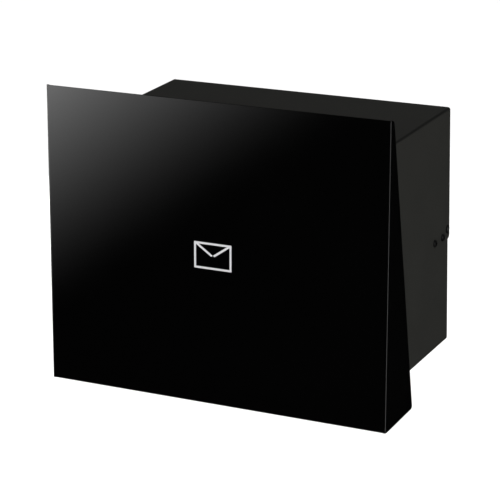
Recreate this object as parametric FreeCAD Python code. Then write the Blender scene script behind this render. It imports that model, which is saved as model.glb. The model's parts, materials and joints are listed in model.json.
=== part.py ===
import FreeCAD, Part
import math
import os
from FreeCAD import Vector

# Recessed mailbox: letters go in under a swinging front cover and come out
# through a drop-down door at the back. Millimetres and degrees.
# Frame: +X right seen from the street, +Y into the wall, +Z up. The origin is
# on the underside of the box, at mid width, in the plane of the wall face.

# Front cover, one folded sheet
cover_width = 400.0
cover_height = 330.0
cover_sheet = 1.5
cover_bend = 2.2
cover_lean = 2.8
cover_reach = 60.0
cover_rise = 45.0
cheek_head_depth = 7.5
cheek_foot_depth = 72.0
cheek_head_round = 6.5
cheek_foot_round = 3.0
cheek_foot_rise = 2.0
lip_depth = 9.0
lip_relief = 1.0
corner_rise = 0.6

# Box let into the wall
box_width = 344.0
box_height = 269.0
box_sheet = 1.2
box_bend = 3.0
box_embed = 171.5
rear_step = 5.0
wall_return = 9.0
seam_width = 0.5
seam_depth = 0.6
fixing_spacing_x = 240.0
fixing_spacing_y = 90.0
fixing_setback = 85.0
fixing_radius = 2.75

# Letter plate inside the front of the box
front_gap = 9.0
plate_sheet = 1.2
plate_flange = 15.0
plate_clearance = 0.15
slot_height = 42.0
slot_drop = 70.0
slot_margin = 3.0
slot_lip = 12.0
slot_bend = 2.0

# Hinge of the cover, on the box top
hinge_rise = 14.0
hinge_setback = 14.0
rod_radius = 3.0
rod_fit = 0.03
rod_chamfer = 0.6
bracket_x = 130.0
bracket_sheet = 2.0
bracket_bend = 1.0
bracket_base = 24.0
bracket_boss = 8.0
bracket_rivet_pitch = 16.0
bracket_edge = 6.0
cap_radius = 6.0
cap_length = 5.0
cap_bore = 3.5
cap_gap = 0.2
cap_round = 2.0
lug_sheet = 2.0
lug_bend = 1.0
lug_flange = 26.0
lug_half_height = 15.0
lug_boss = 8.0
stud_radius = 2.0
stud_spacing = 18.0
stud_clearance = 0.2
nut_flats = 7.0
nut_height = 3.2
bush_wall = 1.5
bush_flange_radius = 6.5
bush_flange = 1.0
running_clearance = 0.06
side_play = 0.3

# Rubber stops behind the cover
bumper_inset = 27.0
bumper_rise = 40.0
bumper_floor_gap = 14.0
bumper_radius = 6.5
bumper_round = 1.5
bumper_neck_radius = 2.4
bumper_bulb_radius = 3.4
bumper_bulb = 3.0
seat_gap = 0.3

# Rear door and its pivots
pivot_inset = 6.1
pivot_z = 131.0
door_sheet = 1.0
door_bend = 2.0
door_face_offset = 5.2
door_ear = 8.0
door_ear_round = 5.0
door_heel_drop = 6.0
door_heel_round = 5.0
door_top_gap = 2.5
door_top_return = 10.0
door_side_gap = 0.8
door_wall_gap = 0.6
pivot_plate_sheet = 2.0
pivot_plate_margin = 6.0
pivot_lobe = 5.2
pin_radius = 2.0
pin_head_radius = 2.6
pin_head_proud = 0.6
pivot_bush_radius = 3.6
pivot_bush_flange_radius = 4.8
pivot_bush_flange = 0.8
pin_round = 0.6
washer_radius = 4.5
clip_radius = 3.6
clip_thickness = 0.8
pin_tail = 1.2
screw_inset = 21.0
screw_pitch = 23.0
screw_drop = 5.5
screw_radius = 2.0
screw_head_radius = 3.5
screw_head = 2.6
screw_recess = 1.4
screw_recess_width = 0.9
recess_turn = 45.0
button_head_radius = 4.2
button_head = 2.3
socket_flats = 3.0
socket_depth = 1.4

# Magnet catch under the box top
catch_width = 40.0
catch_height = 14.0
catch_drop = 16.0
catch_inset = 12.5
catch_sheet = 1.5
catch_bend = 0.8
catch_foot = 18.0
catch_round = 1.5
magnet_width = 20.0
magnet_height = 8.0
magnet_depth = 7.0
magnet_proud = 0.4
magnet_fit = 0.05
catch_screw_x = 15.0
catch_screw_radius = 1.5
catch_screw_head_radius = 2.75
catch_screw_head = 1.9
catch_counterbore = 3.0
catch_nut_flats = 5.5
catch_nut_height = 2.4

# Door knob
knob_drop = 48.0
knob_length = 15.0
knob_radius = 9.5
knob_neck_radius = 5.5
knob_foot_radius = 7.0
knob_rim = 5.0
knob_round = 2.0
knob_thread_depth = 8.0

# Blind rivets
rivet_radius = 1.6
rivet_head_radius = 3.2
rivet_head = 1.2
rivet_tail_radius = 2.3
rivet_tail = 1.4
plate_rivet_low = 60.0
plate_rivet_high = 205.0

# Overshoot of cuts, smallest lengths, and shares of an edge that its rounding or a recess takes
past = 5.0
tiny = 1e-6
least_bend = 0.2
full_round = 0.9
soft_round = 0.6
recess_reach = 0.55

# Values that follow from the ones above
lean = math.radians(cover_lean)
cover_top = box_height + cover_rise
cover_foot = cover_top - cover_height
plate_depth = cover_sheet + front_gap
inner_half_width = box_width / 2 - box_sheet
box_front = cover_reach + cover_height
hinge_z = box_height + hinge_rise
bumper_x = box_width / 2 - bumper_inset
bumper_z = max(cover_foot + bumper_rise, bumper_floor_gap)
rear_y = box_embed - rear_step
pivot_y = box_embed - pivot_inset
door_half_width = inner_half_width - pivot_plate_sheet - door_side_gap
door_face_y = pivot_y + door_face_offset
door_top = box_height - box_sheet - door_top_gap
heel_reach = math.hypot(door_face_offset - door_heel_round, door_heel_drop - door_heel_round)
heel_sweep = door_heel_round + heel_reach
rear_wall_top = pivot_z - heel_sweep - door_wall_gap
ear_foot = rear_wall_top - rear_step
lug_face_x = bracket_x - bracket_sheet - side_play - bush_flange
sides = {"left": -1, "right": 1}


def front_y(z, depth):
    """Y, at height z, of the plane that lies depth behind the cover's outer face."""
    return -cover_reach - (cover_top - z) * math.tan(lean) + depth / math.cos(lean)


hinge_y = front_y(hinge_z, hinge_setback)
rivet_row_y = front_y(box_height, plate_depth) + plate_flange + bracket_edge


def in_xy(point):
    """Lift an outline point to the XY plane."""
    return Vector(point.x, point.y, 0)


def in_xz(point):
    """Lift an outline point to the XZ plane."""
    return Vector(point.x, 0, point.y)


def in_yz(point):
    """Lift an outline point to the YZ plane."""
    return Vector(0, point.x, point.y)


def outline(points, radii, lift):
    """Face inside a closed outline whose corners are rounded by the given radii."""
    corners = [Vector(a, b, 0) for a, b in points]
    bends = []
    for i, corner in enumerate(corners):
        before = (corners[i - 1] - corner).normalize()
        after = (corners[(i + 1) % len(corners)] - corner).normalize()
        if radii[i] <= 0:
            bends.append((corner, None, corner))
            continue
        half = before.getAngle(after) / 2
        reach = radii[i] / math.tan(half)
        middle = corner + (before + after).normalize() * (radii[i] / math.sin(half) - radii[i])
        bends.append((corner + before * reach, middle, corner + after * reach))
    edges = []
    for i, (start, middle, end) in enumerate(bends):
        following = bends[(i + 1) % len(bends)][0]
        if middle is not None:
            edges.append(Part.Arc(lift(start), lift(middle), lift(end)).toShape())
        if (following - end).Length > tiny:
            edges.append(Part.LineSegment(lift(end), lift(following)).toShape())
    return Part.Face(Part.Wire(edges))


def prism_x(points, radii, low, high):
    """Solid with a YZ outline between two X values."""
    face = outline(points, radii, in_yz)
    face.translate(Vector(low, 0, 0))
    return face.extrude(Vector(high - low, 0, 0))


def prism_y(points, radii, low, high):
    """Solid with an XZ outline between two Y values."""
    face = outline(points, radii, in_xz)
    face.translate(Vector(0, low, 0))
    return face.extrude(Vector(0, high - low, 0))


def prism_z(points, radii, low, high):
    """Solid with an XY outline between two Z values."""
    face = outline(points, radii, in_xy)
    face.translate(Vector(0, 0, low))
    return face.extrude(Vector(0, 0, high - low))


def block(low, high):
    """Box between two corners."""
    size = [b - a for a, b in zip(low, high)]
    return Part.makeBox(*size, Vector(*low))


def rod(start, end, radius):
    """Cylinder between two points."""
    axis = Vector(*end) - Vector(*start)
    return Part.makeCylinder(radius, axis.Length, Vector(*start), axis)


def turned(points, radii):
    """Solid of revolution about +Y from (radius, y) points."""
    return outline(points, radii, in_xy).revolve(Vector(0, 0, 0), Vector(0, 1, 0), 360)


def aim(shape, axis):
    """Turn a solid made along +Y so that it points along another axis."""
    turns = {
        "+X": (Vector(0, 0, 1), -90),
        "-X": (Vector(0, 0, 1), 90),
        "+Z": (Vector(1, 0, 0), 90),
        "-Z": (Vector(1, 0, 0), -90),
        "-Y": (Vector(0, 0, 1), 180),
        "+Y": (Vector(0, 0, 1), 0),
    }
    about, angle = turns[axis]
    aimed = shape.copy()
    aimed.rotate(Vector(0, 0, 0), about, angle)
    return aimed


def placed(shape, x, y, z):
    """Copy of a solid moved by x, y, z."""
    moved = shape.copy()
    moved.translate(Vector(x, y, z))
    return moved


def outward(side):
    """Axis name that points out of the box on a side."""
    return "+X" if side > 0 else "-X"


def inward(side):
    """Axis name that points into the box from a side."""
    return "-X" if side > 0 else "+X"


def mirrored(shape, side):
    """The right-hand solid, or its mirror image for the left."""
    return shape if side > 0 else shape.mirror(Vector(0, 0, 0), Vector(1, 0, 0))


def with_cover(shape):
    """Place a solid made on the cover's own axes: y behind its face, z down from its top edge."""
    leaned = shape.copy()
    leaned.rotate(Vector(0, 0, 0), Vector(1, 0, 0), -cover_lean)
    leaned.translate(Vector(0, -cover_reach, cover_top))
    return leaned


def on_plate(shape, x, z):
    """Place a solid made along +Y square to the letter plate, with y = 0 on its face."""
    leaned = shape.copy()
    leaned.rotate(Vector(0, 0, 0), Vector(1, 0, 0), -cover_lean)
    leaned.translate(Vector(x, front_y(z, plate_depth), z))
    return leaned


def rivet(grip):
    """Blind rivet along +Y with its head seated at y = 0."""
    points = [(0, -rivet_head), (rivet_head_radius, -rivet_head), (rivet_head_radius, 0), (rivet_radius, 0),
              (rivet_radius, grip), (rivet_tail_radius, grip), (rivet_tail_radius, grip + rivet_tail),
              (0, grip + rivet_tail)]
    return turned(points, [0, rivet_head * full_round, 0, 0, 0, 0, rivet_tail * soft_round, 0])


def pan_screw(shank, shank_radius, head_radius, head, recess, recess_width):
    """Cross-recessed pan-head screw along +Y with its head seated at y = 0."""
    points = [(0, -head), (head_radius, -head), (head_radius, 0), (shank_radius, 0), (shank_radius, shank),
              (0, shank)]
    screw = turned(points, [0, head * soft_round, 0, 0, 0, 0])
    arm = head_radius * recess_reach
    half = recess_width / 2
    screw = screw.cut(block((-arm, -head - past, -half), (arm, -head + recess, half)))
    screw = screw.cut(block((-half, -head - past, -arm), (half, -head + recess, arm)))
    screw.rotate(Vector(0, 0, 0), Vector(0, 1, 0), recess_turn)
    return screw


def hexagon(flats, low, high):
    """Hexagon bar along +Y between two Y values."""
    reach = flats / math.sqrt(3)
    turns = [math.radians(60 * i) for i in range(6)]
    points = [(reach * math.cos(turn), reach * math.sin(turn)) for turn in turns]
    return prism_y(points, [0] * 6, low, high)


def button_screw(shank):
    """Button-head screw with a hexagon socket along +Y, with its head seated at y = 0."""
    points = [(0, -button_head), (button_head_radius, -button_head), (button_head_radius, 0),
              (screw_radius, 0), (screw_radius, shank), (0, shank)]
    screw = turned(points, [0, button_head * full_round, 0, 0, 0, 0])
    return screw.cut(hexagon(socket_flats, -button_head - past, socket_depth - button_head))


def hex_nut(flats, bore, height):
    """Hexagon nut along +Y, from y = 0 to its height."""
    return hexagon(flats, 0, height).cut(rod((0, -past, 0), (0, height + past, 0), bore))


def rounded_section(inset):
    """Box section in XZ, set in by a distance, with its corner radii."""
    half = box_width / 2 - inset
    points = [(-half, inset), (half, inset), (half, box_height - inset), (-half, box_height - inset)]
    return points, [max(box_bend - inset, least_bend)] * 4


def lug_stud_places():
    """X and cover-axis z of the weld studs of the right-hand lug."""
    x = lug_face_x - lug_flange / 2 - lug_sheet / 2
    return [(x, hinge_on_cover() + offset) for offset in (-stud_spacing / 2, stud_spacing / 2)]


def hinge_on_cover():
    """Z of the hinge axis on the cover's own axes."""
    return (hinge_y + cover_reach) * math.sin(lean) + (hinge_z - cover_top) * math.cos(lean)


def front_cover():
    """Folded front sheet with tapered cheeks, a finger lip and weld studs."""
    half = cover_width / 2
    depth = cheek_foot_depth + past
    inner = half - cover_sheet
    inner_bend = cover_bend - cover_sheet
    channel = [(-half, depth), (-half, 0), (half, 0), (half, depth),
               (inner, depth), (inner, cover_sheet), (-inner, cover_sheet), (-inner, depth)]
    radii = [0, cover_bend, cover_bend, 0, 0, inner_bend, inner_bend, 0]
    length = cover_height / math.cos(lean) + 2 * past
    sheet = with_cover(prism_z(channel, radii, past - length, past))
    head_y = front_y(cover_top, 0)
    foot_y = front_y(cover_foot, 0)
    corner_foot = cover_foot + corner_rise
    side_outline = [(foot_y - past, corner_foot), (foot_y + lip_depth, corner_foot),
                    (foot_y + cheek_foot_depth, cover_foot + cheek_foot_rise),
                    (head_y + cheek_head_depth, cover_top), (head_y - past, cover_top)]
    side_radii = [0, 0, cheek_foot_round, cheek_head_round, 0]
    cover = sheet.common(prism_x(side_outline, side_radii, -half - past, half + past))
    lip_half = half - cover_bend - lip_relief
    fold_z = cover_foot + cover_bend + cover_sheet
    cover = cover.cut(block((-lip_half, foot_y - past, cover_foot - past),
                            (lip_half, foot_y + cover_bend + past, fold_z)))
    lip = [(front_y(fold_z, 0), fold_z), (foot_y, cover_foot), (foot_y + lip_depth, cover_foot),
           (foot_y + lip_depth, cover_foot + cover_sheet),
           (front_y(cover_foot + cover_sheet, cover_sheet), cover_foot + cover_sheet),
           (front_y(fold_z, cover_sheet), fold_z)]
    cover = cover.fuse(prism_x(lip, [0, cover_bend, 0, 0, inner_bend, 0], -lip_half, lip_half))
    stud_end = cover_sheet + lug_sheet + nut_height + stud_radius / 2
    for side in sides.values():
        for x, z in lug_stud_places():
            stud = rod((side * x, cover_sheet / 2, z), (side * x, stud_end, z), stud_radius)
            cover = cover.fuse(with_cover(stud))
    return cover.removeSplitter()


def box_shell():
    """Folded box: floor, top, sides that step back above a low rear wall, whose top edge is folded in."""
    front_foot = front_y(0, plate_depth)
    front_head = front_y(box_height + past, plate_depth)
    section, radii = rounded_section(0)
    outer = prism_y(section, radii, -box_front, box_embed + past)
    envelope = [(front_head, box_height + past), (box_embed, box_height + past), (box_embed, ear_foot),
                (rear_y, ear_foot), (rear_y, 0), (front_foot, 0)]
    bends = [0, 0, rear_step * full_round, 0, box_bend, 0]
    outer = outer.common(prism_x(envelope, bends, -box_width, box_width))
    section, radii = rounded_section(box_sheet)
    hollow = prism_y(section, radii, -box_front, box_embed + past)
    rear = rear_y - box_sheet
    room = [(-box_front, box_height + past), (rear, box_height + past), (rear, box_sheet),
            (-box_front, box_sheet)]
    shell = outer.cut(hollow.common(prism_x(room, [0, 0, box_bend - box_sheet, 0], -box_width, box_width)))
    fold_z = rear_wall_top - box_bend - box_sheet
    doorway = hollow.common(block((-box_width, rear - past, fold_z),
                                  (box_width, box_embed + past, box_height)))
    behind_wall = hollow.common(block((-box_width, rear_y, 0), (box_width, box_embed + past, box_height)))
    shell = shell.cut(doorway).cut(behind_wall)
    fold = [(rear_y, fold_z), (rear_y, rear_wall_top), (rear_y - wall_return, rear_wall_top),
            (rear_y - wall_return, rear_wall_top - box_sheet), (rear, rear_wall_top - box_sheet),
            (rear, fold_z)]
    shell = shell.fuse(prism_x(fold, [0, box_bend, 0, 0, box_bend - box_sheet, 0],
                               -inner_half_width, inner_half_width))
    for x in (-fixing_spacing_x / 2, fixing_spacing_x / 2):
        for y in (fixing_setback - fixing_spacing_y / 2, fixing_setback + fixing_spacing_y / 2):
            shell = shell.cut(rod((x, y, -past), (x, y, past), fixing_radius))
    for side in sides.values():
        wall = (side * (inner_half_width - past), side * (box_width / 2 + past))
        seam = sorted((side * inner_half_width, side * (inner_half_width - seam_width)))
        shell = shell.cut(block((seam[0], rear_y - seam_depth, box_bend), (seam[1], rear_y + past, ear_foot)))
        shell = shell.cut(rod((wall[0], pivot_y, pivot_z), (wall[1], pivot_y, pivot_z), pivot_bush_radius))
        for y in screw_rows():
            z = pivot_z - screw_drop
            shell = shell.cut(rod((wall[0], y, z), (wall[1], y, z), screw_radius))
        for y, z in plate_rivet_places():
            shell = shell.cut(rod((wall[0], y, z), (wall[1], y, z), rivet_radius))
        for x, y in bracket_rivet_places():
            shell = shell.cut(rod((side * x, y, box_height - past), (side * x, y, box_height + past),
                                  rivet_radius))
    return shell.removeSplitter()


def screw_rows():
    """Y of the two screws of a pivot plate."""
    return [box_embed - screw_inset, box_embed - screw_inset - screw_pitch]


def plate_rivet_places():
    """Y and Z of the letter plate's rivets on one side of the box."""
    return [(front_y(z, plate_depth) + plate_flange / 2, z) for z in (plate_rivet_low, plate_rivet_high)]


def bracket_rivet_places():
    """X and Y of the rivets of the right-hand hinge bracket."""
    return [(bracket_x + bracket_base / 2, rivet_row_y + i * bracket_rivet_pitch) for i in range(2)]


def letter_plate():
    """Plate with a letter slot, flanged into the front of the box along all four edges."""
    inset = box_sheet + plate_clearance
    high = box_height + past
    head = front_y(high, plate_depth)
    foot = front_y(-past, plate_depth)
    section, radii = rounded_section(inset)
    tray = prism_y(section, radii, -box_front, box_embed)
    slab = [(head, high), (head + plate_flange, high), (foot + plate_flange, -past), (foot, -past)]
    tray = tray.common(prism_x(slab, [0] * 4, -box_width, box_width))
    section, radii = rounded_section(inset + plate_sheet)
    hollow = prism_y(section, radii, -box_front, box_embed)
    behind = [(head + plate_sheet, high), (box_embed, high), (box_embed, -past), (foot + plate_sheet, -past)]
    plate = tray.cut(hollow.common(prism_x(behind, [0] * 4, -box_width, box_width)))
    slot_half = inner_half_width - plate_clearance - plate_sheet - slot_margin
    slot_top = box_height - slot_drop
    slot_foot = slot_top - slot_height
    bend = slot_bend + plate_sheet
    nearest = front_y(slot_foot, plate_depth) - past
    furthest = front_y(slot_top, plate_depth) + plate_sheet + past
    plate = plate.cut(block((-slot_half, nearest, slot_foot - bend), (slot_half, furthest, slot_top + bend)))
    for edge, away in ((slot_top, 1), (slot_foot, -1)):
        plate = plate.fuse(slot_fold(edge, away, slot_half))
    for side in sides.values():
        neck = rod((0, -past, 0), (0, past, 0), bumper_neck_radius)
        plate = plate.cut(on_plate(neck, side * bumper_x, bumper_z))
        for y, z in plate_rivet_places():
            start = side * (inner_half_width - past)
            plate = plate.cut(rod((start, y, z), (side * box_width / 2, y, z), rivet_radius))
    return plate.removeSplitter()


def slot_fold(edge, away, slot_half):
    """Edge of the letter slot, folded back into the box; away is +1 above the slot, -1 below it."""
    bend = slot_bend + plate_sheet
    far = edge + away * bend
    inside = edge + away * plate_sheet
    front = front_y(edge, plate_depth)
    points = [(front_y(far, plate_depth), far), (front, edge), (front + slot_lip, edge),
              (front + slot_lip, inside), (front_y(inside, plate_depth) + plate_sheet, inside),
              (front_y(far, plate_depth) + plate_sheet, far)]
    return prism_x(points, [0, slot_bend, 0, 0, slot_bend - plate_sheet, 0], -slot_half, slot_half)


def letter_plate_rivets():
    """Rivets through the box sides into the letter plate's flanges."""
    pin = rivet(box_sheet + plate_clearance + plate_sheet)
    return [placed(aim(pin, inward(side)), side * box_width / 2, y, z)
            for side in sides.values() for y, z in plate_rivet_places()]


def flap_bracket(side):
    """Angle bracket on the box top with an ear round the hinge rod."""
    ear_x = bracket_x - bracket_sheet
    tall = hinge_z + bracket_boss + past
    back = rivet_row_y + bracket_rivet_pitch + bracket_edge
    front = hinge_y - bracket_boss
    angle = [(ear_x, box_height), (bracket_x + bracket_base, box_height),
             (bracket_x + bracket_base, box_height + bracket_sheet), (bracket_x, box_height + bracket_sheet),
             (bracket_x, tall), (ear_x, tall)]
    bends = [bracket_bend + bracket_sheet, 0, 0, bracket_bend, 0, 0]
    bracket = prism_y(angle, bends, front - past, back + past)
    foot = box_height + bracket_sheet + bracket_bend
    ear = [(front, box_height - past), (back, box_height - past), (back, foot),
           (hinge_y + bracket_boss, hinge_z + bracket_boss), (front, hinge_z + bracket_boss)]
    bracket = bracket.common(prism_x(ear, [0, 0, 0, bracket_boss * soft_round, bracket_boss * full_round],
                                     -cover_width, cover_width))
    bracket = bracket.cut(rod((0, hinge_y, hinge_z), (cover_width, hinge_y, hinge_z), rod_radius + rod_fit))
    for x, y in bracket_rivet_places():
        bracket = bracket.cut(rod((x, y, box_height - past), (x, y, box_height + past), rivet_radius))
    return mirrored(bracket, side)


def flap_bracket_rivets():
    """Rivets that hold both hinge brackets to the box top."""
    pin = aim(rivet(bracket_sheet + box_sheet), "-Z")
    return [placed(pin, side * x, y, box_height + bracket_sheet)
            for side in sides.values() for x, y in bracket_rivet_places()]


def hinge_rod():
    """Plain rod, chamfered at both ends, that the cover swings on."""
    end = bracket_x + cap_gap + cap_bore
    points = [(0, -end), (rod_radius - rod_chamfer, -end), (rod_radius, rod_chamfer - end),
              (rod_radius, end - rod_chamfer), (rod_radius - rod_chamfer, end), (0, end)]
    return placed(aim(turned(points, [0] * 6), "+X"), 0, hinge_y, hinge_z)


def rod_cap(side):
    """Push-on cap over one end of the hinge rod."""
    bore = rod_radius + rod_fit
    points = [(bore, 0), (cap_radius, 0), (cap_radius, cap_length), (0, cap_length), (0, cap_bore),
              (bore, cap_bore)]
    cap = turned(points, [0, 0, cap_round, 0, 0, 0])
    return placed(aim(cap, outward(side)), side * (bracket_x + cap_gap), hinge_y, hinge_z)


def cover_lug(side):
    """Angle bracket behind the cover with an ear that swings on the hinge rod."""
    axis_z = hinge_on_cover()
    low = axis_z - lug_half_height
    high = axis_z + lug_half_height
    tall = hinge_setback + lug_boss
    seat = cover_sheet
    start = lug_face_x - lug_flange - lug_sheet
    inside = lug_face_x - lug_sheet
    angle = [(start, seat), (lug_face_x, seat), (lug_face_x, tall + past), (inside, tall + past),
             (inside, seat + lug_sheet), (start, seat + lug_sheet)]
    lug = prism_z(angle, [0, lug_bend + lug_sheet, 0, 0, lug_bend, 0], low, high)
    foot = seat + lug_sheet + lug_bend
    ear = [(-past, low), (foot, low), (tall, axis_z - lug_boss), (tall, axis_z + lug_boss), (foot, high),
           (-past, high)]
    lug = lug.common(prism_x(ear, [0, 0, lug_boss * full_round, lug_boss * full_round, 0, 0], 0, cover_width))
    lug = lug.cut(rod((0, hinge_setback, axis_z), (cover_width, hinge_setback, axis_z), bush_radius()))
    for x, z in lug_stud_places():
        lug = lug.cut(rod((x, 0, z), (x, foot, z), stud_radius + stud_clearance))
    return with_cover(mirrored(lug, side))


def bush_radius():
    """Outside radius of a hinge bush, seated in its lug."""
    return rod_radius + running_clearance + bush_wall


def lug_bush(side):
    """Flanged bush in a lug, running on the hinge rod."""
    bore = rod_radius + running_clearance
    points = [(bore, -lug_sheet), (bush_radius(), -lug_sheet), (bush_radius(), 0), (bush_flange_radius, 0),
              (bush_flange_radius, bush_flange), (bore, bush_flange)]
    bush = turned(points, [0] * 6)
    return placed(aim(bush, outward(side)), side * lug_face_x, hinge_y, hinge_z)


def lug_nuts():
    """Nuts on the cover's weld studs."""
    nut = hex_nut(nut_flats, stud_radius, nut_height)
    return [with_cover(placed(nut, side * x, cover_sheet + lug_sheet, z))
            for side in sides.values() for x, z in lug_stud_places()]


def cover_bumper(side):
    """Push-in rubber stop that stands off the letter plate to the closed cover."""
    through = plate_sheet * math.cos(lean)
    end = through + bumper_bulb
    points = [(0, seat_gap - front_gap), (bumper_radius, seat_gap - front_gap), (bumper_radius, 0),
              (bumper_neck_radius, 0), (bumper_neck_radius, through), (bumper_bulb_radius, through),
              (bumper_neck_radius, end), (0, end)]
    bumper = turned(points, [0, bumper_round, 0, 0, 0, 0, 0, 0])
    return on_plate(bumper, side * bumper_x, bumper_z)


def pivot_plate(side):
    """Cranked plate inside a box side, tapped for two screws, that carries the door's pivot pin."""
    near, far = screw_rows()
    row_z = pivot_z - screw_drop
    margin = pivot_plate_margin
    lobe = pivot_lobe
    points = [(far - margin, row_z - margin), (near + margin, row_z - margin),
              (near + margin, pivot_z - lobe), (pivot_y + lobe, pivot_z - lobe),
              (pivot_y + lobe, pivot_z + lobe), (near, pivot_z + lobe), (far - margin, row_z + margin)]
    radii = [margin * full_round, margin * soft_round, pin_round, lobe * full_round, lobe * full_round,
             margin, margin * full_round]
    plate = prism_x(points, radii, inner_half_width - pivot_plate_sheet, inner_half_width)
    for y in (near, far):
        plate = plate.cut(rod((0, y, row_z), (box_width, y, row_z), screw_radius))
    plate = plate.cut(rod((0, pivot_y, pivot_z), (box_width, pivot_y, pivot_z), pin_radius))
    return mirrored(plate, side)


def pivot_plate_screws():
    """Button-head screws through the box sides into the pivot plates."""
    screw = button_screw(box_sheet + pivot_plate_sheet)
    return [placed(aim(screw, inward(side)), side * box_width / 2, y, pivot_z - screw_drop)
            for side in sides.values() for y in screw_rows()]


def clip_start():
    """Distance from a pivot plate's outer face to the clip inside the door's flange."""
    return pivot_plate_sheet + door_side_gap + door_sheet + side_play


def pivot_pin(side):
    """Headed pin riveted in the pivot plate; the end of its head shows in the bush in the box side."""
    tail = clip_start() + clip_thickness + pin_tail
    head = box_sheet + pin_head_proud
    points = [(0, -head), (pin_head_radius, -head), (pin_head_radius, 0), (pin_radius, 0), (pin_radius, tail),
              (0, tail)]
    pin = turned(points, [0, pin_round, 0, 0, pin_round, 0])
    return placed(aim(pin, inward(side)), side * inner_half_width, pivot_y, pivot_z)


def pivot_bush(side):
    """Flanged bush pressed into the box side round the pin's head."""
    bore = pin_head_radius + rod_fit
    points = [(bore, -pivot_bush_flange), (pivot_bush_flange_radius, -pivot_bush_flange),
              (pivot_bush_flange_radius, 0), (pivot_bush_radius, 0), (pivot_bush_radius, box_sheet),
              (bore, box_sheet)]
    bush = turned(points, [0, pivot_bush_flange * soft_round, 0, 0, 0, 0])
    return placed(aim(bush, inward(side)), side * box_width / 2, pivot_y, pivot_z)


def pin_ring(side, start, thickness, radius, bore):
    """Flat ring on a pivot pin; start is measured inward from the plate's outer face."""
    end = start + thickness
    ring = turned([(bore, start), (radius, start), (radius, end), (bore, end)], [0] * 4)
    return placed(aim(ring, inward(side)), side * inner_half_width, pivot_y, pivot_z)


def pivot_washer(side):
    """Washer between the pivot plate and the door's flange."""
    gap = side_play / 2
    return pin_ring(side, pivot_plate_sheet + gap, door_side_gap - 2 * gap, washer_radius,
                    pin_radius + running_clearance)


def pivot_clip(side):
    """Clip that keeps the door's flange on its pin."""
    return pin_ring(side, clip_start(), clip_thickness, clip_radius, pin_radius)


def rear_door():
    """Pan door with side flanges on the pivots, a top return and a foot rolled round the pivot."""
    outer = door_solid(0)
    door = outer.cut(door_solid(door_sheet))
    clear = door_half_width - door_sheet - door_bend
    front = pivot_y - door_ear - past
    door = door.cut(block((-clear, front, door_top - door_bend - past),
                          (clear, door_face_y - door_top_return, door_top + past)))
    door = door.cut(block((-clear, front, pivot_z - door_heel_drop - past),
                          (clear, pivot_y, pivot_z - door_sheet)))
    span = door_half_width + past
    door = door.cut(rod((-span, pivot_y, pivot_z), (span, pivot_y, pivot_z), pin_radius + running_clearance))
    door = door.cut(rod((0, door_face_y - past, knob_z()), (0, door_face_y + past, knob_z()), screw_radius))
    return door.removeSplitter()


def door_solid(inset):
    """Door block set in by a distance on all sides but the open front."""
    front = pivot_y - door_ear - (past if inset else 0)
    rear = door_face_y - inset
    top = door_top - inset
    foot = pivot_z - door_heel_drop + inset
    half = door_half_width - inset
    side_view = [(front, top), (rear, top), (rear, foot), (front, foot)]
    ear_round = 0 if inset else door_ear_round
    bends = [ear_round, door_bend - inset, door_heel_round - inset, ear_round]
    body = prism_x(side_view, bends, -half, half)
    plan = [(-half, front - past), (half, front - past), (half, rear), (-half, rear)]
    return body.common(prism_z(plan, [0, 0, door_bend - inset, door_bend - inset], foot - past, top + past))


def knob_z():
    """Height of the door knob."""
    return door_top - knob_drop


def door_knob():
    """Turned pull with a waisted neck and a rounded rim, tapped for its screw."""
    neck_end = knob_length - knob_rim
    points = [(screw_radius, 0), (knob_foot_radius, 0), (knob_neck_radius, neck_end / 2),
              (knob_radius, neck_end), (knob_radius, knob_length), (0, knob_length),
              (0, knob_thread_depth), (screw_radius, knob_thread_depth)]
    knob = turned(points, [0, 0, knob_round, knob_round, knob_round, 0, 0, 0])
    return placed(knob, 0, door_face_y, knob_z())


def knob_screw():
    """Pan-head screw through the door into the knob."""
    screw = pan_screw(door_sheet + knob_thread_depth, screw_radius, screw_head_radius, screw_head,
                      screw_recess, screw_recess_width)
    return placed(screw, 0, door_face_y - door_sheet, knob_z())


def catch_leg_y():
    """Y of the catch bracket's rear face."""
    return box_embed - catch_inset


def catch_z():
    """Height of the magnet catch."""
    return box_height - box_sheet - catch_drop - catch_height / 2


def catch_bracket():
    """Angle welded under the box top that holds the magnet catch."""
    top = box_height - box_sheet
    leg = catch_leg_y()
    foot = catch_z() - catch_height / 2
    angle = [(leg - catch_foot, top), (leg, top), (leg, foot), (leg - catch_sheet, foot),
             (leg - catch_sheet, top - catch_sheet), (leg - catch_foot, top - catch_sheet)]
    half = catch_width / 2
    bracket = prism_x(angle, [0, catch_bend + catch_sheet, 0, 0, catch_bend, 0], -half, half)
    for x in (-catch_screw_x, catch_screw_x):
        bracket = bracket.cut(rod((x, leg - past, catch_z()), (x, leg + past, catch_z()), catch_screw_radius))
    return bracket


def magnet_face_y():
    """Y of the magnet's face, just clear of the closed door."""
    return door_face_y - door_sheet - seat_gap


def catch_housing():
    """Moulded block of the magnet catch, with a pocket for the magnet and two counterbores."""
    start = catch_leg_y()
    end = magnet_face_y() - magnet_proud
    half = catch_width / 2
    low = catch_z() - catch_height / 2
    high = catch_z() + catch_height / 2
    points = [(-half, low), (half, low), (half, high), (-half, high)]
    housing = prism_y(points, [catch_round] * 4, start, end)
    fit = magnet_fit
    housing = housing.cut(block((-magnet_width / 2 - fit, magnet_face_y() - magnet_depth,
                                 catch_z() - magnet_height / 2 - fit),
                                (magnet_width / 2 + fit, end + past, catch_z() + magnet_height / 2 + fit)))
    for x in (-catch_screw_x, catch_screw_x):
        housing = housing.cut(rod((x, start - past, catch_z()), (x, end + past, catch_z()),
                                  catch_screw_radius))
        housing = housing.cut(rod((x, end - catch_counterbore, catch_z()), (x, end + past, catch_z()),
                                  catch_screw_head_radius))
    return housing


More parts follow.
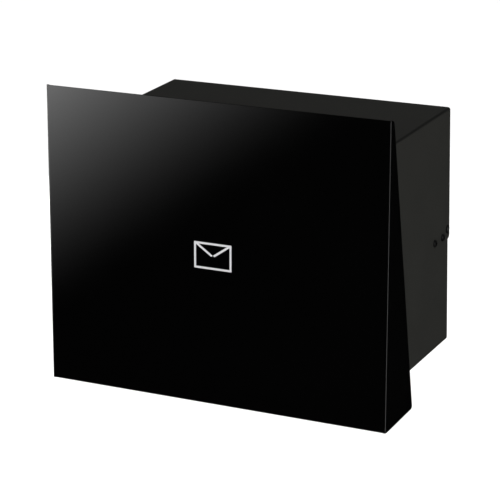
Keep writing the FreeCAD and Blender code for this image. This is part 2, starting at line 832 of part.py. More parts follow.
def catch_magnet():
    """Magnet block in the catch housing."""
    return block((-magnet_width / 2, magnet_face_y() - magnet_depth, catch_z() - magnet_height / 2),
                 (magnet_width / 2, magnet_face_y(), catch_z() + magnet_height / 2))


def catch_head_y():
    """Y of the counterbore floors under the catch screws' heads."""
    return magnet_face_y() - magnet_proud - catch_counterbore


def catch_screws():
    """Screws through the catch housing and its bracket."""
    length = catch_head_y() - catch_leg_y() + catch_sheet + catch_nut_height
    screw = aim(pan_screw(length, catch_screw_radius, catch_screw_head_radius, catch_screw_head,
                          screw_recess, screw_recess_width), "-Y")
    return [placed(screw, x, catch_head_y(), catch_z()) for x in (-catch_screw_x, catch_screw_x)]


def catch_nuts():
    """Nuts of the catch screws, in front of the bracket."""
    nut = hex_nut(catch_nut_flats, catch_screw_radius, catch_nut_height)
    start = catch_leg_y() - catch_sheet - catch_nut_height
    return [placed(nut, x, start, catch_z()) for x in (-catch_screw_x, catch_screw_x)]


def build():
    """All sub-parts by name."""
    pieces = {
        "box_shell": box_shell(),
        "letter_plate": letter_plate(),
        "letter_plate_rivets": letter_plate_rivets(),
        "flap_bracket_rivets": flap_bracket_rivets(),
        "hinge_rod": hinge_rod(),
        "pivot_plate_screws": pivot_plate_screws(),
        "catch_bracket": catch_bracket(),
        "catch_housing": catch_housing(),
        "catch_magnet": catch_magnet(),
        "catch_screws": catch_screws(),
        "catch_nuts": catch_nuts(),
        "front_cover": front_cover(),
        "lug_nuts": lug_nuts(),
        "rear_door": rear_door(),
        "door_knob": door_knob(),
        "knob_screw": knob_screw(),
    }
    paired = [flap_bracket, rod_cap, cover_bumper, pivot_plate, pivot_pin, pivot_bush, pivot_washer,
              pivot_clip, cover_lug, lug_bush]
    for make in paired:
        for name, side in sides.items():
            pieces[f"{make.__name__}_{name}"] = make(side)
    return pieces


os.makedirs("parts", exist_ok=True)
for node, piece in build().items():
    shape = Part.makeCompound(piece) if isinstance(piece, list) else piece
    shape.exportStep(f"parts/{node}.step")
    solids = shape.Solids
    volume = sum(solid.Volume for solid in solids)
    print(f"{node}: {len(solids)} solid, valid {shape.isValid()}, volume {volume:.1f}")
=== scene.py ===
"""Looks of a recessed wall mailbox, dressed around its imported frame.

Lengths are in metres in the part's frame: +X to the right seen from the street, +Y into the wall, +Z up.
"""

import json
import logging
import math
from dataclasses import dataclass
from enum import Enum

import bpy
from mathutils import Matrix, Vector

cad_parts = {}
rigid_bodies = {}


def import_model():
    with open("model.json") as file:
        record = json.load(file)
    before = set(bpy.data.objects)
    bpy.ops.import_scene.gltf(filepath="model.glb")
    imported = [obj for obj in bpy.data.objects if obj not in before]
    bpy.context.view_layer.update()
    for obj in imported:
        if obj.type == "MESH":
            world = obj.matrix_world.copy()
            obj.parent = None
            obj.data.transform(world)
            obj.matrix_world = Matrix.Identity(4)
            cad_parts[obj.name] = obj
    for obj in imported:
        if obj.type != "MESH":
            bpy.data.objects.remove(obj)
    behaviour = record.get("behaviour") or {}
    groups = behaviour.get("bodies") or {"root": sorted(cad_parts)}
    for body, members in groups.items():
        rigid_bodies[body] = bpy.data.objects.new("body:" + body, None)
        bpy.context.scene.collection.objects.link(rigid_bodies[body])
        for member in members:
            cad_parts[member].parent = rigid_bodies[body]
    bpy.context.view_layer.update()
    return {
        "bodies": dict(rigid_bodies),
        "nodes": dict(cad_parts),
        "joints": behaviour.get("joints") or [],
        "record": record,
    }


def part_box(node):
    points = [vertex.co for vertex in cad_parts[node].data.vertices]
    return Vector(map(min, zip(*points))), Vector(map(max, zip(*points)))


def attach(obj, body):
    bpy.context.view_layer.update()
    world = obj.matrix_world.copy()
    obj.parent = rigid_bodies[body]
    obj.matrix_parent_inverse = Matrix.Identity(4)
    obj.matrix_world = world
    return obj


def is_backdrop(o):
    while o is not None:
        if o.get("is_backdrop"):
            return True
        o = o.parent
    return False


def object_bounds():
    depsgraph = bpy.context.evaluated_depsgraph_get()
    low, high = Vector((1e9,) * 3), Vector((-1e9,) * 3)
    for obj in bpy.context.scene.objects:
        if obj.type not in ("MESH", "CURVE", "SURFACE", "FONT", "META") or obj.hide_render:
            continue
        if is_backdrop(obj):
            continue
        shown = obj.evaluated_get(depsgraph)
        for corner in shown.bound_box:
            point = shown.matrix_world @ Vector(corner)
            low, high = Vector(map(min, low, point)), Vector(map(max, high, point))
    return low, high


LOG = logging.getLogger("mailbox")
MM = 0.001
PHOTO_SIDE = 500
SENSOR_WIDTH = 36.0
COVER_BODY = "cover"
RIGHT_ANGLE = math.radians(90)
WHITE = (1, 1, 1, 1)

Colour = tuple[float, float, float]
Range = tuple[float, float]
Socket = bpy.types.NodeSocket

# Values between which nearly all of a noise pattern lies
NOISE_RANGE: Range = (0.3, 0.7)
# Values of a noise pattern at which a patch of wear starts and is full
PATCH_RANGE: Range = (0.4, 0.6)
# Agreement of rounded and true normal at which an edge starts to wear and is worn
WEAR_RANGE: Range = (0.98, 0.8)
# Openness at which the painted shade in a recess starts and is full
RECESS_SHADE_RANGE: Range = (0.8, 0.35)
# Rays that a shader sends out to find edges and recesses
SHADER_SAMPLES = 6


class Slot(Enum):
    """Material slots of the part's record."""

    BOX_PAINT = "box_paint"
    COVER_GLOSS = "cover_gloss"
    ZINC_PLATE = "zinc_plate"
    BLACK_SCREW = "black_screw"
    BUMPER_RUBBER = "bumper_rubber"
    BUSH_NYLON = "bush_nylon"
    BLACK_PLASTIC = "black_plastic"
    FERRITE = "ferrite"


def grey(level: float) -> Colour:
    """A neutral colour.

    Args:
        level: Value of its three channels.

    Returns:
        The colour.
    """
    return (level, level, level)


def shade(colour: Colour, factor: float) -> Colour:
    """A colour made lighter or darker.

    Args:
        colour: Colour to change.
        factor: Factor on its channels.

    Returns:
        The changed colour.
    """
    return tuple(channel * factor for channel in colour)


class NodeBench:
    """Short calls that add nodes to a node tree."""

    def __init__(self, tree: bpy.types.NodeTree) -> None:
        """Start on a tree.

        Args:
            tree: Tree that gets the nodes.
        """
        self.nodes = tree.nodes
        self.links = tree.links

    def add(self, kind: str, **settings: object) -> bpy.types.Node:
        """Add a node.

        Args:
            kind: Type of the node.
            settings: Its properties and their values.

        Returns:
            The new node.
        """
        node = self.nodes.new(kind)
        for name, value in settings.items():
            setattr(node, name, value)
        return node

    def put(self, value: Socket | float, target: Socket) -> None:
        """Give a socket its value.

        Args:
            value: Socket to link, or a plain value.
            target: Socket that gets it.
        """
        if isinstance(value, Socket):
            self.links.new(value, target)
        else:
            target.default_value = value

    def math(self, operation: str, *values: Socket | float, clamp: bool = False) -> Socket:
        """Combine values.

        Args:
            operation: Name of the operation.
            values: Its values, sockets or numbers.
            clamp: Whether the result stays between 0 and 1.

        Returns:
            The result.
        """
        node = self.add("ShaderNodeMath", operation=operation, use_clamp=clamp)
        for value, target in zip(values, node.inputs):
            self.put(value, target)
        return node.outputs["Value"]

    def remap(self, source: Socket, start: float, end: float, low: float = 0.0, high: float = 1.0) -> Socket:
        """Map a range of values to another, clamped beyond it.

        Args:
            source: Value to map.
            start: Value that gives the low end.
            end: Value that gives the high end.
            low: Low end of the result.
            high: High end of the result.

        Returns:
            The mapped value.
        """
        node = self.add("ShaderNodeMapRange")
        for name, value in (("From Min", start), ("From Max", end), ("To Min", low), ("To Max", high)):
            node.inputs[name].default_value = value
        self.links.new(source, node.inputs["Value"])
        return node.outputs["Result"]

    def axes(self, source: Socket) -> dict[str, Socket]:
        """Split a vector.

        Args:
            source: Vector to split.

        Returns:
            Its values by X, Y and Z.
        """
        node = self.add("ShaderNodeSeparateXYZ")
        self.links.new(source, node.inputs["Vector"])
        return {name: node.outputs[name] for name in "XYZ"}


class Recipe(NodeBench):
    """A material under construction, with patterns on the object's own coordinates."""

    def __init__(self, name: str) -> None:
        """Start a material.

        Args:
            name: Name of the material.
        """
        self.material = bpy.data.materials.new(name)
        self.material.use_nodes = True
        super().__init__(self.material.node_tree)
        self.shader = next(node for node in self.nodes if node.type == "BSDF_PRINCIPLED")
        self.place = self.add("ShaderNodeTexCoord").outputs["Object"]

    def fix(self, **values: float) -> None:
        """Set constant sockets of the shader.

        Args:
            values: Socket names and their values.
        """
        for name, value in values.items():
            self.shader.inputs[name].default_value = value

    def feed(self, socket: str, source: Socket) -> None:
        """Link a source to one of the shader's sockets.

        Args:
            socket: Name of the shader's socket.
            source: Socket that drives it.
        """
        self.links.new(source, self.shader.inputs[socket])

    def noise(self, grain: float, detail: float = 2.0, stretch: Vector = Vector((1, 1, 1))) -> Socket:
        """Add a noise pattern.

        Args:
            grain: Size of one lump, in metres.
            detail: Octaves of finer lumps.
            stretch: Factors that squeeze the pattern along X, Y and Z.

        Returns:
            The pattern's value, from 0 to 1.
        """
        mapping = self.add("ShaderNodeMapping")
        mapping.inputs["Scale"].default_value = stretch
        self.links.new(self.place, mapping.inputs["Vector"])
        pattern = self.add("ShaderNodeTexNoise")
        pattern.inputs["Scale"].default_value = 1 / grain
        pattern.inputs["Detail"].default_value = detail
        self.links.new(mapping.outputs["Vector"], pattern.inputs["Vector"])
        return pattern.outputs["Fac"]

    def span(self, pattern: Socket, values: Range) -> Socket:
        """Spread a noise pattern over a range of values.

        Args:
            pattern: Pattern from 0 to 1.
            values: Value in its hollows and value on its crests.

        Returns:
            The value.
        """
        return self.remap(pattern, *NOISE_RANGE, *values)

    def tint(self, pattern: Socket, hollow: Colour, crest: Colour) -> Socket:
        """Colour a noise pattern between two colours.

        Args:
            pattern: Pattern from 0 to 1.
            hollow: Colour of its hollows.
            crest: Colour of its crests.

        Returns:
            The colour.
        """
        ramp = self.add("ShaderNodeValToRGB")
        for stop, position, colour in zip(ramp.color_ramp.elements, NOISE_RANGE, (hollow, crest)):
            stop.position = position
            stop.color = (*colour, 1)
        self.links.new(pattern, ramp.inputs["Fac"])
        return ramp.outputs["Color"]

    def vary(self, pattern: Socket, colour: Colour, factors: Range) -> Socket:
        """Make a colour a little darker and lighter by a noise pattern.

        Args:
            pattern: Pattern from 0 to 1.
            colour: Colour to vary.
            factors: Factor in the pattern's hollows and factor on its crests.

        Returns:
            The varied colour.
        """
        return self.tint(pattern, *(shade(colour, factor) for factor in factors))

    def mix(self, share: Socket, plain: Socket, other: Colour) -> Socket:
        """Blend a colour with a second one.

        Args:
            share: Share of the second colour, from 0 to 1.
            plain: First colour.
            other: Second colour.

        Returns:
            The blended colour.
        """
        node = self.add("ShaderNodeMixRGB")
        node.inputs["Color2"].default_value = (*other, 1)
        self.links.new(share, node.inputs["Fac"])
        self.links.new(plain, node.inputs["Color1"])
        return node.outputs["Color"]

    def edges(self, width: float, patch: float) -> Socket:
        """Pattern of wear along a piece's edges.

        Args:
            width: Width of the worn strip, in metres.
            patch: Size of its gaps, in metres.

        Returns:
            1 where an edge is worn and 0 on the faces.
        """
        rounded = self.add("ShaderNodeBevel", samples=SHADER_SAMPLES)
        rounded.inputs["Radius"].default_value = width
        agree = self.add("ShaderNodeVectorMath", operation="DOT_PRODUCT")
        self.links.new(rounded.outputs["Normal"], agree.inputs[0])
        self.links.new(self.add("ShaderNodeNewGeometry").outputs["Normal"], agree.inputs[1])
        strip = self.remap(agree.outputs["Value"], *WEAR_RANGE)
        return self.math("MULTIPLY", strip, self.remap(self.noise(patch, detail=3), *PATCH_RANGE))

    def recess_shade(self, depth: float) -> Socket:
        """Pattern of painted shade in a piece's recesses and inner corners, where ambient occlusion finds
        them closed in.

        Args:
            depth: Size of the recesses, in metres.

        Returns:
            1 deep in a recess and 0 on open faces.
        """
        shadow = self.add("ShaderNodeAmbientOcclusion", samples=SHADER_SAMPLES, only_local=True)
        shadow.inputs["Distance"].default_value = depth
        return self.remap(shadow.outputs["AO"], *RECESS_SHADE_RANGE)

    def bump(self, height: Socket, depth: float, strength: float) -> None:
        """Roughen the surface by a pattern.

        Args:
            height: Pattern from 0 to 1.
            depth: Height of its crests, in metres.
            strength: Share of the effect, from 0 to 1.
        """
        node = self.add("ShaderNodeBump")
        node.inputs["Strength"].default_value = strength
        node.inputs["Distance"].default_value = depth
        self.links.new(height, node.inputs["Height"])
        self.feed("Normal", node.outputs["Normal"])


@dataclass(frozen=True)
class GlossPaint:
    """High-gloss black paint with a faint orange peel, thin along the sheet's edges."""

    name: str = "cover_gloss_black"
    colour: Colour = grey(0.0006)
    thin_colour: Colour = grey(0.004)
    variation: Range = (0.9, 1.1)
    roughness: Range = (0.035, 0.06)
    ior: float = 1.5
    cloud: float = 90 * MM
    peel: float = 3.5 * MM
    peel_depth: float = 0.02 * MM
    peel_strength: float = 0.06
    edge: float = 0.4 * MM
    edge_patch: float = 25 * MM

    def build(self) -> bpy.types.Material:
        """Make the material.

        Returns:
            The material.
        """
        recipe = Recipe(self.name)
        cloud = recipe.noise(self.cloud, detail=3)
        even = recipe.vary(cloud, self.colour, self.variation)
        thin = recipe.edges(self.edge, self.edge_patch)
        recipe.feed("Base Color", recipe.mix(thin, even, self.thin_colour))
        recipe.feed("Roughness", recipe.span(cloud, self.roughness))
        recipe.bump(recipe.noise(self.peel, detail=1), self.peel_depth, self.peel_strength)
        recipe.fix(IOR=self.ior)
        return recipe.material


@dataclass(frozen=True)
class PowderCoat:
    """Matt dark grey powder coat with a fine grain.

    It has a painted shade along the box's four long bends, a dark line in place of the dark that the bends
    mirror, and is lighter along its rubbed edges.
    """

    name: str = "box_powder_coat"
    colour: Colour = (0.0128, 0.0128, 0.0108)
    variation: Range = (0.92, 1.08)
    roughness: Range = (0.5, 0.62)
    ior: float = 1.45
    cloud: float = 30 * MM
    grain: float = 0.7 * MM
    grain_depth: float = 0.07 * MM
    grain_strength: float = 0.5
    fleck: float = 0.5 * MM
    fleck_range: Range = (0.58, 0.7)
    fleck_shade: float = 1.25
    edge: float = 0.5 * MM
    edge_patch: float = 14 * MM
    edge_shade: float = 1.8
    box_half_width: float = 172 * MM
    box_half_height: float = 134.5 * MM
    bend: float = 3 * MM
    # Factor of the painted shade on the bends, a dark line in place of a dark reflection
    bend_painted_shade: float = 0.08

    def painted_shade_on_bends(self, recipe: Recipe) -> Socket:
        """Pattern of the painted shade along the box's four long bends.

        Args:
            recipe: Material that gets it.

        Returns:
            1 along the middle of a bend and 0 on the flat faces.
        """
        place = recipe.axes(recipe.place)
        across = recipe.math("ABSOLUTE", place["X"])
        rise = recipe.math("ABSOLUTE", recipe.math("SUBTRACT", place["Z"], self.box_half_height))
        middle = self.bend * (1 - math.sqrt(0.5))
        beside = recipe.remap(across, self.box_half_width - self.bend, self.box_half_width - middle)
        above = recipe.remap(rise, self.box_half_height - self.bend, self.box_half_height - middle)
        return recipe.math("MINIMUM", beside, above)

    def build(self) -> bpy.types.Material:
        """Make the material.

        Returns:
            The material.
        """
        recipe = Recipe(self.name)
        colour = recipe.vary(recipe.noise(self.cloud, detail=4), self.colour, self.variation)
        layers = [
            (recipe.remap(recipe.noise(self.fleck, detail=1), *self.fleck_range), self.fleck_shade),
            (recipe.edges(self.edge, self.edge_patch), self.edge_shade),
            # painted shade: the long bends darkened, in place of the dark they mirror
            (self.painted_shade_on_bends(recipe), self.bend_painted_shade),
        ]
        for pattern, factor in layers:
            colour = recipe.mix(pattern, colour, shade(self.colour, factor))
        recipe.feed("Base Color", colour)
        grain = recipe.noise(self.grain, detail=3)
        recipe.feed("Roughness", recipe.span(grain, self.roughness))
        recipe.bump(grain, self.grain_depth, self.grain_strength)
        recipe.fix(IOR=self.ior)
        return recipe.material


@dataclass(frozen=True)
class PlatedSteel:
    """Plated or blackened steel with streaks, clouds of a second tone, bright edges and painted shade in its
    recesses.
    """

    name: str
    colour: Colour
    cloud_colour: Colour
    edge_colour: Colour
    recess_shade_colour: Colour
    roughness: Range
    metallic: float
    ior: float = 1.5
    cloud: float = 6 * MM
    streak: float = 1.2 * MM
    streak_stretch: Vector = Vector((0.15, 1, 1))
    streak_depth: float = 0.01 * MM
    streak_strength: float = 0.3
    edge: float = 0.3 * MM
    edge_patch: float = 3 * MM
    recess: float = 1.6 * MM

    def build(self) -> bpy.types.Material:
        """Make the material.

        Returns:
            The material.
        """
        recipe = Recipe(self.name)
        colour = recipe.tint(recipe.noise(self.cloud, detail=4), self.cloud_colour, self.colour)
        colour = recipe.mix(recipe.edges(self.edge, self.edge_patch), colour, self.edge_colour)
        # painted shade: recesses darkened towards the shade colour by ambient occlusion
        recipe.feed("Base Color", recipe.mix(recipe.recess_shade(self.recess), colour, self.recess_shade_colour))
        streak = recipe.noise(self.streak, detail=3, stretch=self.streak_stretch)
        recipe.feed("Roughness", recipe.span(streak, self.roughness))
        recipe.bump(streak, self.streak_depth, self.streak_strength)
        recipe.fix(Metallic=self.metallic, IOR=self.ior)
        return recipe.material


@dataclass(frozen=True)
class Moulding:
    """Moulded plastic, rubber or pressed powder with a fine grain and rubbed edges."""

    name: str
    colour: Colour
    roughness: Range
    edge_shade: float = 1.6
    variation: Range = (0.9, 1.06)
    ior: float = 1.5
    cloud: float = 8 * MM
    grain: float = 0.5 * MM
    grain_depth: float = 0.03 * MM
    grain_strength: float = 0.25
    edge: float = 0.4 * MM
    edge_patch: float = 4 * MM

    def build(self) -> bpy.types.Material:
        """Make the material.

        Returns:
            The material.
        """
        recipe = Recipe(self.name)
        colour = recipe.vary(recipe.noise(self.cloud, detail=3), self.colour, self.variation)
        rubbed = recipe.edges(self.edge, self.edge_patch)
        recipe.feed("Base Color", recipe.mix(rubbed, colour, shade(self.colour, self.edge_shade)))
        grain = recipe.noise(self.grain, detail=2)
        recipe.feed("Roughness", recipe.span(grain, self.roughness))
        recipe.bump(grain, self.grain_depth, self.grain_strength)
        recipe.fix(IOR=self.ior)
        return recipe.material


FINISHES = {
    Slot.BOX_PAINT: PowderCoat(),
    Slot.COVER_GLOSS: GlossPaint(),
    # The fourth colour of each plated steel is the painted shade deep in its recesses
    Slot.ZINC_PLATE: PlatedSteel(
        "bright_zinc_plate", colour=(0.64, 0.64, 0.63), cloud_colour=(0.5, 0.52, 0.56),
        edge_colour=(0.78, 0.78, 0.77), recess_shade_colour=grey(0.2), roughness=(0.26, 0.42), metallic=0.75),
    Slot.BLACK_SCREW: PlatedSteel(
        "black_oxide_steel", colour=grey(0.006), cloud_colour=(0.004, 0.004, 0.0042),
        edge_colour=(0.035, 0.035, 0.034), recess_shade_colour=grey(0.0003), roughness=(0.3, 0.4), metallic=0.3,
        ior=1.2),
    Slot.BUMPER_RUBBER: Moulding("bumper_black_rubber", grey(0.014), (0.75, 0.9)),
    Slot.BUSH_NYLON: Moulding("bush_natural_nylon", (0.72, 0.7, 0.65), (0.4, 0.52), edge_shade=1.1),
    Slot.BLACK_PLASTIC: Moulding("satin_black_moulding", (0.0016, 0.0016, 0.0017), (0.26, 0.36)),
    Slot.FERRITE: Moulding("ground_ferrite", (0.055, 0.055, 0.06), (0.5, 0.7), grain=0.3 * MM),
}
OWN_FINISHES = (
    (PowderCoat("pin_powder_coat", colour=(0.024, 0.024, 0.022)), ("pivot_pin_left", "pivot_pin_right")),
    (Moulding("bush_black_moulding", (0.0016, 0.0016, 0.0017), (0.3, 0.4), ior=1.2),
     ("pivot_bush_left", "pivot_bush_right")),
)


def deselect_all() -> None:
    """Leave edit mode and clear the selection."""
    if bpy.context.object and bpy.context.object.mode != "OBJECT":
        bpy.ops.object.mode_set(mode="OBJECT")
    bpy.ops.object.select_all(action="DESELECT")


def dress(obj: bpy.types.Object, material: bpy.types.Material) -> None:
    """Give an object one material all over.

    Args:
        obj: Object to dress.
        material: Its material.
    """
    obj.data.materials.clear()
    obj.data.materials.append(material)
    for face in obj.data.polygons:
        face.material_index = 0


@dataclass(frozen=True)
class Hardware:
    """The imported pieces, each dressed in the finish of its slot, and pivot pins and bushes in their own."""

    frame: dict

    def build(self) -> None:
        """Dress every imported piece."""
        materials = {slot: finish.build() for slot, finish in FINISHES.items()}
        own: dict[str, bpy.types.Material] = {}
        for finish, nodes in OWN_FINISHES:
            own.update(dict.fromkeys(nodes, finish.build()))
        for row in self.frame["record"]["subparts"]:
            slot = Slot(row["material_slot"])
            material = own.get(row["node"], materials[slot])
            dress(self.frame["nodes"][row["node"]], material)
            LOG.info("dressed %s in %s", row["node"], material.name)


@dataclass(frozen=True)
class CoverFront:
    """Plane of the cover's front, which leans out towards its foot."""

    lean: float = math.radians(2.8)
    corner_rise: float = 0.6 * MM

    @property
    def normal(self) -> Vector:
        """Direction that the front faces."""
        return Vector((0, -math.cos(self.lean), math.sin(self.lean)))

    def at(self, across: float, up: float) -> Vector:
        """Point of the front.

        Args:
            across: Share of its width, from 0 at the left to 1 at the right.
            up: Share of its height, from 0 at the foot to 1 at the head.

        Returns:
            The point.
        """
        low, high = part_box("front_cover")
        rise = (high.z - low.z) * up
        y = low.y + (rise - self.corner_rise) * math.tan(self.lean)
        return Vector((low.x + (high.x - low.x) * across, y, low.z + rise))


@dataclass(frozen=True)
class EnvelopeSign:
    """Silver outline of an envelope, printed at the middle of the cover's front."""

    width: float = 44 * MM
    height: float = 29 * MM
    stroke: float = 2.2 * MM
    thickness: float = 0.12 * MM
    flap_depth: float = 15 * MM
    front: CoverFront = CoverFront()
    smooth_angle: float = math.radians(1)
    colour: Colour = (0.5, 0.5, 0.51)
    variation: Range = (0.94, 1.04)
    roughness: Range = (0.42, 0.55)
    metallic: float = 0.15
    flake: float = 0.4 * MM

    @property
    def rim(self) -> tuple[float, float]:
        """Half width and half height inside the outline."""
        return self.width / 2 - self.stroke, self.height / 2 - self.stroke

    def finish(self) -> bpy.types.Material:
        """Make the silver ink.

        Returns:
            The material.
        """
        recipe = Recipe("silver_ink")
        flake = recipe.noise(self.flake, detail=2)
        recipe.feed("Base Color", recipe.vary(flake, self.colour, self.variation))
        recipe.feed("Roughness", recipe.span(flake, self.roughness))
        recipe.fix(Metallic=self.metallic)
        return recipe.material

    def cut_lines(self) -> list[tuple[Vector, Vector]]:
        """Lines that bound the strokes, and the middle line.

        Returns:
            A point and the direction of each line.
        """
        rim_x, rim_y = self.rim
        upright, level = Vector((0, 1, 0)), Vector((1, 0, 0))
        tip = Vector((0, self.height / 2 - self.flap_depth, 0))
        lines = [(Vector((0, 0, 0)), upright)]
        for side in (-1, 1):
            slope = Vector((side * self.width / 2, self.flap_depth, 0)).normalized()
            across = Vector((-slope.y, slope.x, 0)) * self.stroke / 2
            lines += [(Vector((side * rim_x, 0, 0)), upright), (Vector((0, side * rim_y, 0)), level),
                      (tip + across, slope), (tip - across, slope)]
        return lines

    def on_stroke(self, centre: Vector) -> bool:
        """Whether a face belongs to the envelope's outline or its flap.

        Args:
            centre: Centre of the face.

        Returns:
            True for a face that stays.
        """
        rim_x, rim_y = self.rim
        if abs(centre.x) > rim_x or abs(centre.y) > rim_y:
            return True
        slope = self.flap_depth / (self.width / 2)
        offset = abs(self.height / 2 - self.flap_depth + slope * abs(centre.x) - centre.y)
        return offset * math.cos(math.atan(slope)) < self.stroke / 2

    def place(self) -> Matrix:
        """Transform from the flat sign to the middle of the cover's front."""
        upright = Matrix.Rotation(RIGHT_ANGLE - self.front.lean, 4, "X")
        return Matrix.Translation(self.front.at(0.5, 0.5)) @ upright

    def cut(self) -> bpy.types.Object:
        """Cut the strokes out of a flat sheet.

        Returns:
            The flat strokes.
        """
        deselect_all()
        bpy.ops.mesh.primitive_plane_add(size=1)
        sign = bpy.context.object
        sign.name = "envelope_sign"
        sign.scale = (self.width, self.height, 1)
        bpy.ops.object.transform_apply(scale=True)
        bpy.ops.object.mode_set(mode="EDIT")
        for point, direction in self.cut_lines():
            bpy.ops.mesh.select_all(action="SELECT")
            bpy.ops.mesh.bisect(plane_co=point, plane_no=Vector((-direction.y, direction.x, 0)))
        bpy.ops.mesh.select_all(action="DESELECT")
        bpy.ops.object.mode_set(mode="OBJECT")
        for face in sign.data.polygons:
            face.select = not self.on_stroke(face.center)
        bpy.ops.object.mode_set(mode="EDIT")
        bpy.ops.mesh.delete(type="FACE")
        bpy.ops.mesh.select_all(action="SELECT")
        bpy.ops.mesh.dissolve_limited(angle_limit=self.smooth_angle)
        bpy.ops.object.mode_set(mode="OBJECT")
        return sign

    def build(self) -> bpy.types.Object:
        """Cut the strokes, thicken them and lay them on the cover.

        Returns:
            The finished sign.
        """
        sign = self.cut()
        solidify = sign.modifiers.new("thickness", "SOLIDIFY")
        solidify.thickness = self.thickness
        solidify.offset = 1
        bpy.ops.object.modifier_apply(modifier=solidify.name)
        sign.data.transform(self.place())
        dress(sign, self.finish())
        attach(sign, COVER_BODY)
        LOG.info("made %s", sign.name)
        return sign


@dataclass(frozen=True)
class PhotoCamera:
    """Camera at the photograph's viewing angle."""

    focal_px: float = 2198.8
    yaw: float = math.radians(26.740)
    pitch: float = math.radians(18.502)
    roll: float = math.radians(-1.258)
    eye: Vector = Vector((1.0194, -2.0042, 0.8875))
    clip_start: float = 0.01

    def build(self) -> bpy.types.Object:
        """Make the camera and give it to the scene.

        Returns:
            The camera.
        """
        data = bpy.data.cameras.new("photo_camera")
        data.sensor_width = SENSOR_WIDTH
        data.lens = self.focal_px * SENSOR_WIDTH / PHOTO_SIDE
        data.clip_start = self.clip_start
        camera = bpy.data.objects.new("photo_camera", data)
        turn = (Matrix.Rotation(self.yaw, 4, "Z") @ Matrix.Rotation(RIGHT_ANGLE - self.pitch, 4, "X")
                @ Matrix.Rotation(self.roll, 4, "Z"))
        camera.matrix_world = Matrix.Translation(self.eye) @ turn
        bpy.context.scene.collection.objects.link(camera)
        bpy.context.scene.camera = camera
        return camera


@dataclass(frozen=True)
class SoftBox:
    """Rectangular studio light aimed at a point."""

    name: str
    place: Vector
    size: tuple[float, float]
    power: float
    target: Vector = Vector((0, 0.05, 0.15))

    def build(self) -> bpy.types.Object:
        """Make the light.

        Returns:
            The light, which the camera doesn't see.
        """
        data = bpy.data.lights.new(self.name, "AREA")
        data.shape = "RECTANGLE"
        data.size, data.size_y = self.size
        data.energy = self.power
        light = bpy.data.objects.new(self.name, data)
        aim = (self.target - self.place).to_track_quat("-Z", "Y")
        light.matrix_world = Matrix.Translation(self.place) @ aim.to_matrix().to_4x4()
        light.visible_camera = False
        bpy.context.scene.collection.objects.link(light)
        return light


@dataclass(frozen=True)
class FadeCard:
    """Glowing card that the glossy front mirrors as a soft fade from its upper left corner.

    Its map runs from 0 to 1 over what the front mirrors: u from the left, v from the top.
    """

    distance: float = 1.6
    reach: float = 2.0
    fade_u: float = 0.94
    fade_v: float = 0.82
    falloff: float = 2.42
    brightness: float = 3.35
    front: CoverFront = CoverFront()

    def mirrored(self, across: float, up: float, eye: Vector) -> Vector:
        """Place on the card that is seen mirrored in the front.

        Args:
            across: Share of the front's width.
            up: Share of the front's height.
            eye: Place of the camera.

        Returns:
            The place.
        """
        point = self.front.at(across, up)
        return point + (point - eye).normalized().reflect(self.front.normal) * self.distance

    def finish(self) -> bpy.types.Material:
        """Make the glow.

        Returns:
            The material, which fades along the card's diagonal.
        """
        material = bpy.data.materials.new("fade_card")
        material.use_nodes = True
        bench = NodeBench(material.node_tree)
        bench.nodes.clear()
        place = bench.axes(bench.add("ShaderNodeTexCoord").outputs["UV"])
        level = bench.math("MULTIPLY_ADD", place["X"], -1 / self.fade_u, 1.0)
        level = bench.math("MULTIPLY_ADD", place["Y"], -1 / self.fade_v, level, clamp=True)
        level = bench.math("MULTIPLY", bench.math("POWER", level, self.falloff), self.brightness)
        glow = bench.add("ShaderNodeEmission")
        bench.links.new(level, glow.inputs["Strength"])
        output = bench.add("ShaderNodeOutputMaterial")
        bench.links.new(glow.outputs["Emission"], output.inputs["Surface"])
        return material

    def build(self, eye: Vector) -> bpy.types.Object:
        """Make the card for an eye.

        Args:
            eye: Place of the camera.

        Returns:
            The card, which only mirrors see.
        """
        corner = self.mirrored(0, 1, eye)
        along = self.mirrored(1, 1, eye) - corner
        down = self.mirrored(0, 0, eye) - corner
        places = [(-self.reach, -self.reach), (1, -self.reach), (1, 1), (-self.reach, 1)]
        mesh = bpy.data.meshes.new("fade_card")
        mesh.from_pydata([corner + along * u + down * v for u, v in places], [], [(0, 1, 2, 3)])
        layer = mesh.uv_layers.new(name="UVMap")
        for loop in mesh.loops:
            layer.data[loop.index].uv = places[loop.vertex_index]
        mesh.materials.append(self.finish())
        card = bpy.data.objects.new("fade_card", mesh)
        bpy.context.scene.collection.objects.link(card)
        card.visible_camera = False
        card.visible_diffuse = False
        card.visible_shadow = False
        card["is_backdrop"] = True
        return card


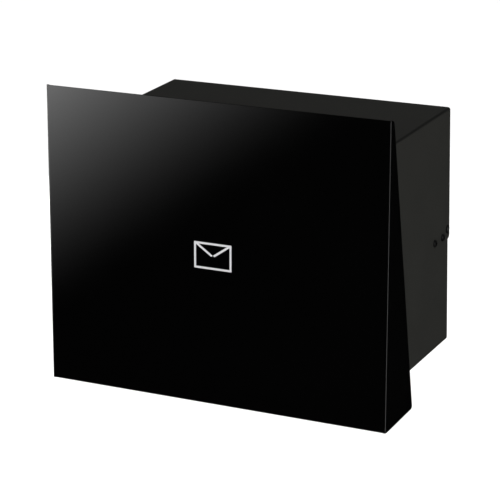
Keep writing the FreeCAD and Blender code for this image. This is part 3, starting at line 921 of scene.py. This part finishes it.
@dataclass(frozen=True)
class Studio:
    """Pale floor, even white surround and soft lights."""

    floor_side: float = 30.0
    floor_drop: float = 0.45
    floor_colour: Colour = grey(0.95)
    floor_variation: Range = (0.99, 1.0)
    floor_cloud: float = 0.4
    floor_roughness: float = 0.9
    fill: float = 1.12
    backdrop: float = 1.0
    mirror_level: float = 0.002
    overhead_level: float = 0.3
    overhead_start: float = 0.85
    soft_boxes: tuple[SoftBox, ...] = (
        SoftBox("right_soft_box", place=Vector((2.1, -1.2, 0.6)), size=(1.4, 1.2), power=31.0),
        SoftBox("edge_strip", place=Vector((1.216, -0.582, -0.155)), size=(0.2, 0.52), power=1.5),
        SoftBox("rear_soft_box", place=Vector((-1.6, 1.8, -0.12)), size=(1.6, 0.5), power=12.0),
    )

    def floor(self) -> bpy.types.Object:
        """Make the pale floor.

        Returns:
            The floor, which lies well below the part.
        """
        deselect_all()
        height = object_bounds()[0].z - self.floor_drop
        bpy.ops.mesh.primitive_plane_add(size=self.floor_side, location=(0, 0, height))
        floor = bpy.context.object
        floor.name = "studio_floor"
        recipe = Recipe("pale_floor")
        cloud = recipe.noise(self.floor_cloud)
        recipe.feed("Base Color", recipe.vary(cloud, self.floor_colour, self.floor_variation))
        recipe.fix(Roughness=self.floor_roughness)
        dress(floor, recipe.material)
        floor.visible_glossy = False
        floor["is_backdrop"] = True
        return floor

    def backlight(self, bench: NodeBench, strength: Socket | float) -> Socket:
        """Add a white layer of the surround.

        Args:
            bench: Tree of the surround.
            strength: Brightness of the layer.

        Returns:
            The layer.
        """
        layer = bench.add("ShaderNodeBackground")
        layer.inputs["Color"].default_value = WHITE
        bench.put(strength, layer.inputs["Strength"])
        return layer.outputs["Background"]

    def surround(self) -> bpy.types.World:
        """Make the white surround.

        Returns:
            The surround, which mirrors see as a dark room with a pale ceiling.
        """
        world = bpy.data.worlds.new("studio_surround")
        world.use_nodes = True
        bench = NodeBench(world.node_tree)
        bench.nodes.clear()
        path = bench.add("ShaderNodeLightPath")
        direction = bench.axes(bench.add("ShaderNodeTexCoord").outputs["Generated"])
        ceiling = bench.remap(
            direction["Z"], self.overhead_start, 1.0, self.mirror_level, self.overhead_level)
        shown = self.backlight(bench, self.fill)
        for ray, strength in (("Is Glossy Ray", ceiling), ("Is Camera Ray", self.backdrop)):
            mix = bench.add("ShaderNodeMixShader")
            sources = (path.outputs[ray], shown, self.backlight(bench, strength))
            for source, target in zip(sources, mix.inputs):
                bench.links.new(source, target)
            shown = mix.outputs["Shader"]
        output = bench.add("ShaderNodeOutputWorld")
        bench.links.new(shown, output.inputs["Surface"])
        bpy.context.scene.world = world
        return world

    def build(self, eye: Vector) -> None:
        """Set up the studio.

        Args:
            eye: Place of the camera.
        """
        bpy.context.scene.view_settings.view_transform = "Standard"
        self.floor()
        self.surround()
        for soft_box in self.soft_boxes:
            soft_box.build()
        FadeCard().build(eye)


def main() -> None:
    """Dress the part, add its sign and set up the studio."""
    logging.basicConfig(level=logging.INFO, format="%(name)s: %(message)s")
    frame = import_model()
    deselect_all()
    Hardware(frame).build()
    EnvelopeSign().build()
    camera = PhotoCamera()
    camera.build()
    Studio().build(camera.eye)


if __name__ == "__main__":
    main()
